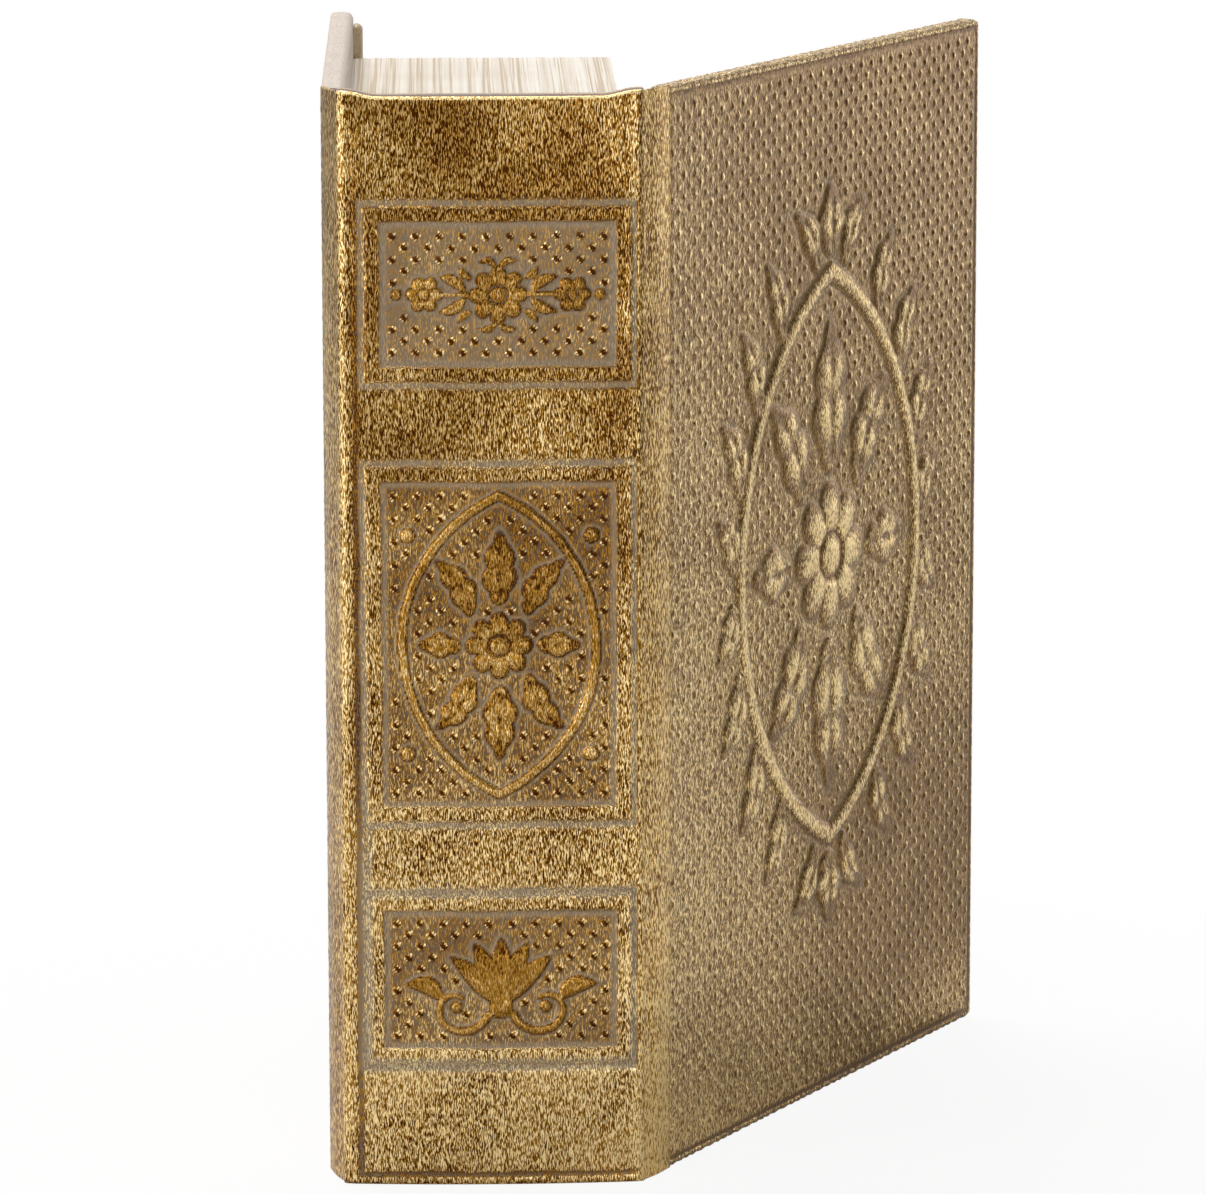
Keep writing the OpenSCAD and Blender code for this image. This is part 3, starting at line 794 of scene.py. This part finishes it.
def centre_piece(u, v):
    """Flower with eight leaves in a pointed oval cord, and leaf sprays round it."""
    a, b = np.abs(u), np.abs(v)
    return np.maximum.reduce([
        rosette(a, b, (0, 0), 19, 8),
        leaf(a, b, (0, 20), (0, 60), 10.5, 0, 3),
        leaf(a, b, (20, 0), (42, 0), 7.5, 0, 2),
        leaf(a, b, (14, 15), (33, 42), 8.5, 0.10, 3),
        0.78 * bead(np.hypot(a + 28.6, b) - 75.6 - 0.5, 2.6),
        leaf(a, b, (51.0, 3.5), (60.0, 18.0), 5.5, 0.16, 3),
        leaf(a, b, (48.0, 21.0), (58.0, 41.0), 6.0, 0.16, 3),
        leaf(a, b, (39.0, 40.0), (48.0, 62.0), 6.0, 0.14, 3),
        leaf(a, b, (26.0, 56.5), (35.0, 77.0), 5.6, 0.12, 3),
        leaf(a, b, (0, 74), (0, 93), 7.5, 0, 2),
        leaf(a, b, (7, 71), (20, 87), 5.0, 0.14, 2),
    ])


def cover_relief(u, v, us, vs, with_centre, dot_rise):
    """Height in mm over a cover's face, and its marks: foil pressed, foil rubbed with painted light and
    shade, and calm.
    """
    from_y, from_z = u - (fore_y - cover_r), np.abs(v - book_h / 2) - (book_h / 2 - cover_r)
    outside = np.hypot(np.maximum(from_y, 0), np.maximum(from_z, 0))
    depth = cover_r - outside - np.minimum(np.maximum(from_y, from_z), 0)
    groove = pressed_line(depth - border, *border_line)
    raised = np.zeros_like(u)
    if with_centre:
        raised = centre_piece(u - (near_y + fore_y) / 2, v - centre_z)
    covered = (raised > 0.02).astype(float)
    free = nearest(us, vs, (blurred(covered, 6) < 0.03).astype(float))
    spots, right, _ = dots(u, v, first_dot, free)
    spots *= smooth(border + 1.1, border + 1.3, depth)
    trough = np.clip(blurred(covered, 3) * 2.2, 0, 1) * smooth(0.3, 0.0, raised)
    height = groove + dot_rise * (0.7 + 0.3 * smooth(20, 110, u)) * spots
    height += 1.05 * blurred(raised, 1)
    height -= 0.3 * trough
    ground = 0.12 - 0.12 * smooth(0.1, 0.5, spots) + 0.5 * trough - 0.3 * smooth(0.2, 0.6, raised)
    band = smooth(border + 0.3, border - 0.3, depth)
    line = -groove / border_line[1] * (1 - 0.65 * smooth(235, 252, v))
    pressed = np.maximum(np.clip(ground, 0, 1) * (1 - band) + 0.1 * band, 0.4 * line)
    # Painted shade and highlight: each dot is painted darker on its left side and brighter on its right,
    # less so near the spine.
    shown = smooth(0.0, 0.5, spots) * (0.8 + 0.2 * smooth(20, 110, u))
    rubbed = shown * (0.25 * smooth(0.0, -0.6, right) - 0.9 * smooth(-0.1, 0.4, right))
    # Painted light and shade: the cover is painted darker towards the head, lighter near the spine and at
    # the foot, and darker over the far lower part.
    rubbed += 0.17 * smooth(80, 250, v) - 0.09 * smooth(75, 15, u) - 0.16 * smooth(28, 6, v)
    rubbed += 0.20 * smooth(50, 120, u) * smooth(110, 60, v)
    rubbed += 0.25 * smooth(0.02, 0.2, raised) * smooth(0.6, 0.2, raised) - 0.6 * smooth(0.5, 0.9, raised)
    rubbed += 0.7 * line
    calm = 0.25 - 0.1 * smooth(0.2, 0.6, spots) - 0.1 * smooth(0.1, 0.5, raised)
    return height, pressed, rubbed, calm


def cover_sheet(pitch, with_centre, dot_rise, edges):
    """Grid over a closed cover's leather, from turn-in to turn-in, and the marks on it.

    edges gives its pressed, wear-and-shading and calm marks beyond the face.
    """
    mid_x = (out_x + in_x) / 2
    half_t = 2.9
    far = 99
    # Rings from the face's edge outwards, round it and inwards: how far out, x, share of the turn-in.
    rolled = [(k * pitch, out_x, 0.0) for k in range(1, 1 + int((cover_r - outer_r) / pitch))]
    flat_count = len(rolled)
    rolled += [(cover_r - outer_r + outer_r * math.sin(a), out_x - outer_r * (1 - math.cos(a)), 0.0)
               for a in np.linspace(0, math.pi / 2, 6)]
    rolled += [(cover_r, x, 0.0) for x in np.linspace(out_x - outer_r, in_x + inner_r, 7)[1:-1]]
    rolled += [(cover_r - inner_r * (1 - math.cos(a)), in_x + inner_r * (1 - math.sin(a)), 0.0)
               for a in np.linspace(0, math.pi / 2, 7)]
    rolled += [(cover_r - inner_r, in_x, share) for share in np.linspace(0, 1, 13)[1:]]
    radius, depth_x, share = (np.array([0.0, *column]) for column in zip(*rolled))
    depth_x[0] = out_x
    over_y = np.arange(1, len(radius))
    base_y = np.linspace(near_y, fore_y - cover_r, int((fore_y - cover_r - near_y) / pitch) + 1)
    base_z = np.linspace(cover_r, book_h - cover_r, int((book_h - 2 * cover_r) / pitch) + 1)
    ky = np.concatenate([np.zeros(len(base_y), int), over_y])
    kz = np.concatenate([over_y[::-1], np.zeros(len(base_z), int), over_y])
    way = np.concatenate([-np.ones(len(over_y)), np.zeros(len(base_z)), np.ones(len(over_y))])
    ys = np.concatenate([base_y, np.full(len(over_y), base_y[-1])])
    zs = np.concatenate([np.full(len(over_y), base_z[0]), base_z, np.full(len(over_y), base_z[-1])])
    # Ring numbers along y and z; at a corner the larger is the ring, and their ratio the angle.
    ky, kz = np.meshgrid(ky, kz)
    y, z = np.meshgrid(ys, zs)
    way = np.broadcast_to(way[:, None], y.shape)
    k = np.maximum(ky, kz)
    small, large = np.minimum(ky, kz), np.maximum(k, 1)
    angle = math.pi / 4 * small / large
    angle = np.where(ky >= kz, angle, math.pi / 2 - angle)
    to_y, to_z = np.cos(angle), np.sin(angle) * way
    far_y = np.minimum(y + far * to_y * (ky > 0), fore_y - turn_in)
    far_z = np.clip(z + far * to_z * (kz > 0), turn_in, book_h - turn_in)
    edge_y, edge_z = y + to_y * radius[k] * (ky > 0), z + to_z * radius[k] * (kz > 0)
    edge_y, edge_z = edge_y * (1 - share[k]) + far_y * share[k], edge_z * (1 - share[k]) + far_z * share[k]
    bowed = edge_y + 0.7 * ((depth_x[k] - mid_x) / half_t) ** 2
    wrinkle = 0.14 * np.sin(1.6 * bowed + 1.4 * np.sin(0.31 * bowed)) + 0.04 * np.sin(4.3 * bowed) - 0.18
    edge_z = edge_z + to_z * wrinkle * ((kz > flat_count) & (share[k] == 0) & (kz > ky))
    x = depth_x[k] + 0.22 * ((ky == kz) & (share[k] > 0))
    rows = np.flatnonzero(kz[:, 0] <= flat_count)
    columns = np.flatnonzero(ky[0] <= flat_count)
    block = np.ix_(rows, columns)
    middle = len(rows) // 2
    rise, *marked = cover_relief(edge_y[block], edge_z[block], edge_y[block][middle], edge_z[block][:, 0],
                                 with_centre, dot_rise)
    x[block] += rise
    marks = {}
    for mark, elsewhere, values in zip(("pressed", "rubbed", "calm"), edges, marked):
        marks[mark] = np.full((x.shape[0], x.shape[1] + 1), elsewhere)
        marks[mark][np.ix_(rows, columns + 1)] = values
        marks[mark][:, 0] = marks[mark][:, 1]
    points = np.stack([x, edge_y, edge_z], -1)
    cut = points[:, :1].copy()
    cut[..., 0] = mid_x + 0.72 * (cut[..., 0] - mid_x)
    cut[..., 2] = np.clip(cut[..., 2], 0.9, book_h - 0.9)
    points = np.concatenate([cut, points], 1)
    return points, marks


cover_leather = leather("cover_leather", scale=3200.0, stretch=0.27, wear_and_shade_level=0.61, clouds=0.14,
                        bright=(1.0, 0.77, 0.38, 1), gold=(0.31, 0.18, 0.058, 1),
                        umber=(0.13, 0.064, 0.017, 1), bare=(0.25, 0.178, 0.098, 1), depth=0.0002)

points, marks = cover_sheet(pitch=0.5, with_centre=True, dot_rise=0.34, edges=(0.15, 0.0, 0.0))
front = sheet_mesh("front_cover_skin", opened(points), cover_leather, **marks)
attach(front, "front_cover")
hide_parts("front_cover_leather")

back_leather = leather("back_leather", scale=3200.0, stretch=0.27, wear_and_shade_level=0.61, clouds=0.14,
                       bright=(1.0, 0.77, 0.40, 1), gold=(0.30, 0.18, 0.068, 1),
                       umber=(0.12, 0.068, 0.026, 1), bare=(0.60, 0.52, 0.46, 1), depth=0.0002)

# Beyond the face, the back cover's edges come out pale pinkish grey.
points, marks = cover_sheet(pitch=0.65, with_centre=False, dot_rise=0.14, edges=(0.8, 0.0, 0.4))
points[:, :, 0] *= -1
back = sheet_mesh("back_cover_skin", points, back_leather, flip=True, **marks)
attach(back, "case")
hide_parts("back_cover_leather")

# Fore-edge strips.
# A narrow strip of board, rounded on top and covered in the same leather, glued inside each
# cover along its fore-edge. It closes the square beside the pages.

strip_y = (169.7, 175.9)
strip_t = 2.4
strip_end = 2.8
strip_end_r = 1.5

soft_leather, tree = new_material("strip_leather")
grain = use_group(tree, crinkle, Scale=2600.0, Stretch=0.5)
shade = remap(tree, noise(tree, on_object(tree), 120.0, 3.0), 0.4, 0.7)
tone = mix_colour(tree, grain.outputs["Crest"], (0.42, 0.34, 0.22, 1), (0.60, 0.53, 0.40, 1))
tone = mix_colour(tree, shade, tone, (0.40, 0.29, 0.13, 1))
add_surface(tree, {"Base Color": tone, "Roughness": 0.48, "Metallic": 0.25},
            grain.outputs["Height"], 0.4, 0.00012)

reach = (strip_y[1] - strip_y[0]) / 2
across = np.cos(np.linspace(0, math.pi, 25))
dome = strip_t * (1 - np.abs(across) ** 3) ** (1 / 2.4)
ring = np.stack([in_x - dome, strip_y[0] + reach * (1 + across)], 1)
ring = np.concatenate([ring, [[in_x + 0.05, strip_y[0]], [in_x + 0.05, strip_y[1]]], ring[:1]])
core_y = ring[:, 1] * 0.25 + 0.75 * (strip_y[0] + reach)
core = np.stack([np.full(len(ring), in_x - 0.35 * strip_t), core_y], 1)
for name, body in (("front_strip", "front_cover"), ("back_strip", "case")):
    points = loft(ring, core, strip_end, book_h - strip_end, strip_end_r, 160)
    if body == "front_cover":
        points = opened(points)
    else:
        points[:, :, 0] *= -1
    strip = sheet_mesh(name, points, soft_leather, flip=body == "case")
    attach(strip, body)
    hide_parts(name.replace("strip", "fore_edge_roll"))

# Page edges.
# Paper printed and ribbed like a block of leaves goes round head, fore-edge and tail of the tray
# in one strip, and round the rim of its opening.

tray_x = -33.45
rim_x = 31.9
page_y = (2.9, 168.6)
page_z = (11.0, 249.0)
page_r = 1.6
leaf_gap = 0.16
leaf_stray = 0.05

page_paper, tree = new_material("page_paper")
leaves = on_object(tree, (1.0, 0.003, 0.003))
fine = noise(tree, leaves, 1500.0, 3.0, 0.65, 0.25)
dark = remap(tree, fine, 0.50, 0.41)
tint = remap(tree, noise(tree, leaves, 600.0, 2.0), 0.42, 0.66)
part_tint = reckon(tree, "MULTIPLY", tint, 0.32)
grime = remap(tree, noise(tree, on_object(tree), 26.0, 4.0), 0.45, 0.8, 0.0, 0.35)
colour = mix_colour(tree, dark, (0.87, 0.82, 0.74, 1), (0.58, 0.47, 0.34, 1))
colour = mix_colour(tree, part_tint, colour, (0.60, 0.49, 0.36, 1))
colour = mix_colour(tree, grime, colour, (0.55, 0.45, 0.32, 1))
add_surface(tree, {"Base Color": colour, "Roughness": 0.8}, fine, 0.5, 0.0002)
paint(page_paper, "page_edge_paper", "rim_paper")

turn_y = page_y[1] - page_r
low_turn = page_z[0] + page_r
high_turn = page_z[1] - page_r
bend = [(math.sin(a), math.cos(a)) for a in np.linspace(0, math.pi / 2, 7)]
path = [(y, page_z[1], 0.0, 1.0) for y in np.linspace(page_y[0], turn_y, 60)[:-1]]
path += [(turn_y + page_r * s, high_turn + page_r * c, s, c) for s, c in bend]
path += [(page_y[1], z, 1.0, 0.0) for z in np.linspace(high_turn, low_turn, 80)[1:-1]]
path += [(turn_y + page_r * c, low_turn - page_r * s, c, -s) for s, c in bend]
path += [(y, page_z[0], 0.0, -1.0) for y in np.linspace(turn_y, page_y[0], 60)[1:]]
path = np.array(path)
random = np.random.default_rng(7)
across = np.linspace(tray_x, rim_x - 0.02, 260)
leaf_depth = random.random(len(across)) ** 1.5
wander = np.cumsum(random.normal(0, 0.05, (len(path), len(across))), 0)
wander = wander - blurred(wander, 12).mean(0)
ridges = leaf_gap * leaf_depth + leaf_stray * np.abs(np.tanh(wander))
points = np.zeros((len(path), len(across), 3))
points[:, :, 0] = across
points[:, :, 1] = path[:, 0, None] - ridges * path[:, 2, None]
points[:, :, 2] = path[:, 1, None] - ridges * path[:, 3, None]
pages = sheet_mesh("page_edges", points, page_paper)
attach(pages, "case")
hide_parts("page_edge_paper")

# Linings.
# Short-pile brown cloth, glued to the tray's floor and walls and to a card panel inside the lid;
# a strip of it, which bends with the joint, covers the joint inside and is made only as it lies with the lid
# open.

lining, tree = new_material("brown_cloth")
pile = noise(tree, on_object(tree), 2600.0, 3.0, 0.7)
brushed = noise(tree, on_object(tree), 30.0, 4.0, 0.5, 1.5)
tone = reckon(tree, "MULTIPLY_ADD", pile, 0.7, brushed)
spread = remap(tree, tone, 0.6, 1.15)
colour = mix_colour(tree, spread, (0.018, 0.010, 0.006, 1), (0.085, 0.050, 0.030, 1))
add_surface(tree, {"Base Color": colour, "Roughness": 0.95, "Sheen Weight": 0.5, "Sheen Roughness": 0.4,
                   "Sheen Tint": (0.55, 0.42, 0.32, 1)}, pile, 0.6, 0.0003)
paint(lining, "floor_lining", "wall_lining", "hinge_lining", "front_cover_lining")

panel_y = (16.5, 168.6)
panel_z = (6.0, 254.0)
panel_t = 1.2
hinge_cloth_t = 0.35


def finer_at_ends(low, high, count):
    """Places from low to high, closer together within 2 mm of both."""
    end = 2 * np.linspace(0, 1, 9) ** 2
    return np.concatenate([low + end, np.linspace(low + 2, high - 2, count)[1:-1], high - end[::-1]])


y, z = np.meshgrid(finer_at_ends(*panel_y, 40), finer_at_ends(*panel_z, 60))
depth = inside_box(y, z, (sum(panel_y) / 2, sum(panel_z) / 2),
                   (panel_y[1] - panel_y[0], panel_z[1] - panel_z[0]))
rise = panel_t * np.sqrt(np.clip(1 - (1 - np.clip(depth / 1.2, 0, 1)) ** 2, 0, 1))
points = np.stack([in_x + 0.05 - 1.04 * rise, y, z], -1)
panel = sheet_mesh("lid_panel", opened(points), lining, flip=True)
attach(panel, "front_cover")
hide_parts("front_cover_lining")

over_lid = opened([(in_x, near_y), (in_x - 0.2, near_y + 1.2), (in_x - 0.2, panel_y[0] + 0.4)])
run = np.concatenate([[(32.2, 3.35), (33.8, 3.35), (35.0, 3.45)], over_lid])
lengths = np.concatenate([[0], np.cumsum(np.hypot(*np.diff(run, axis=0).T))])
even = np.linspace(0, lengths[-1], 40)
run = np.stack([np.interp(even, lengths, run[:, 0]), np.interp(even, lengths, run[:, 1])], 1)
for _ in range(4):
    run[1:-1] = 0.25 * run[:-2] + 0.5 * run[1:-1] + 0.25 * run[2:]
ring, core = strip_section(run, -hinge_cloth_t)
points = loft(ring, core, turn_in, book_h - turn_in, 0.3, 60)
hinge_cloth = sheet_mesh("hinge_cloth", points, lining)
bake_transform(hinge_cloth)
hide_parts("hinge_lining")

# Closure.
# Two nickel-plated bar magnets under the rim's paper, and two steel plates opposite them under
# the lid's lining.

nickel, tree = new_material("nickel")
haze = noise(tree, on_object(tree), 900.0, 4.0)
rough = remap(tree, haze, 0.0, 1.0, 0.15, 0.38)
add_surface(tree, {"Base Color": (0.62, 0.60, 0.56, 1), "Metallic": 1.0, "Roughness": rough})
paint(nickel, "closure_magnets")

steel, tree = new_material("steel_plate")
rolled_lines = noise(tree, on_object(tree, (1.0, 1.0, 0.05)), 1800.0, 3.0)
tone = mix_colour(tree, rolled_lines, (0.40, 0.41, 0.42, 1), (0.56, 0.57, 0.58, 1))
rough = remap(tree, rolled_lines, 0.0, 1.0, 0.28, 0.5)
add_surface(tree, {"Base Color": tone, "Metallic": 1.0, "Roughness": rough})
paint(steel, "keeper_plates")
